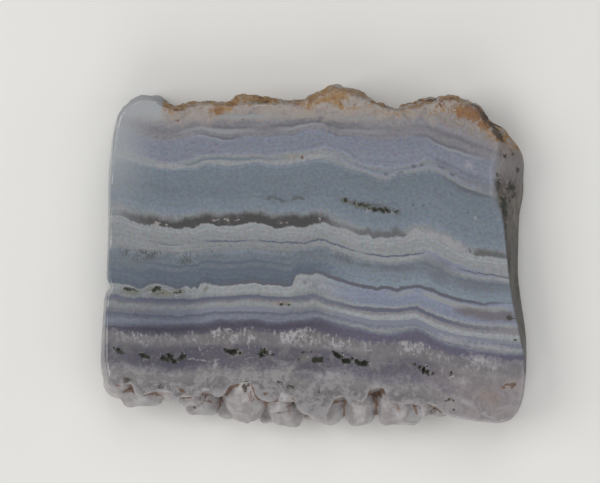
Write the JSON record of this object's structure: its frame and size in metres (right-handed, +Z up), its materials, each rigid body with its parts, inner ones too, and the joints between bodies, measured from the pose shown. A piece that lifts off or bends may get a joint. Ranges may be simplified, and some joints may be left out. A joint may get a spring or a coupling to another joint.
{
  "type": "blue lace agate slab",
  "caption": "Polished slice of banded blue lace agate with a rough iron-stained crust along one edge and blunt quartz crystals along the opposite edge.",
  "frame": {"origin": "bottom centre of the slab's bounding box, on its sawn back face", "axes": "+X along the bands, the slab's length, to the right in the picture; +Y across the bands, from the quartz crystals to the brown crust; +Z up, out of the polished face that the picture shows"},
  "size_m": [0.0513, 0.0413, 0.008],
  "materials": {
    "banded_chalcedony": "polished flat faces with pale blue, lilac, white and grey bands; frosty quartz crystals on one edge and rough brown and white crust on the other"
  },
  "bodies": {
    "root": {"agate_slab": "banded_chalcedony"}
  },
  "joints": []
}
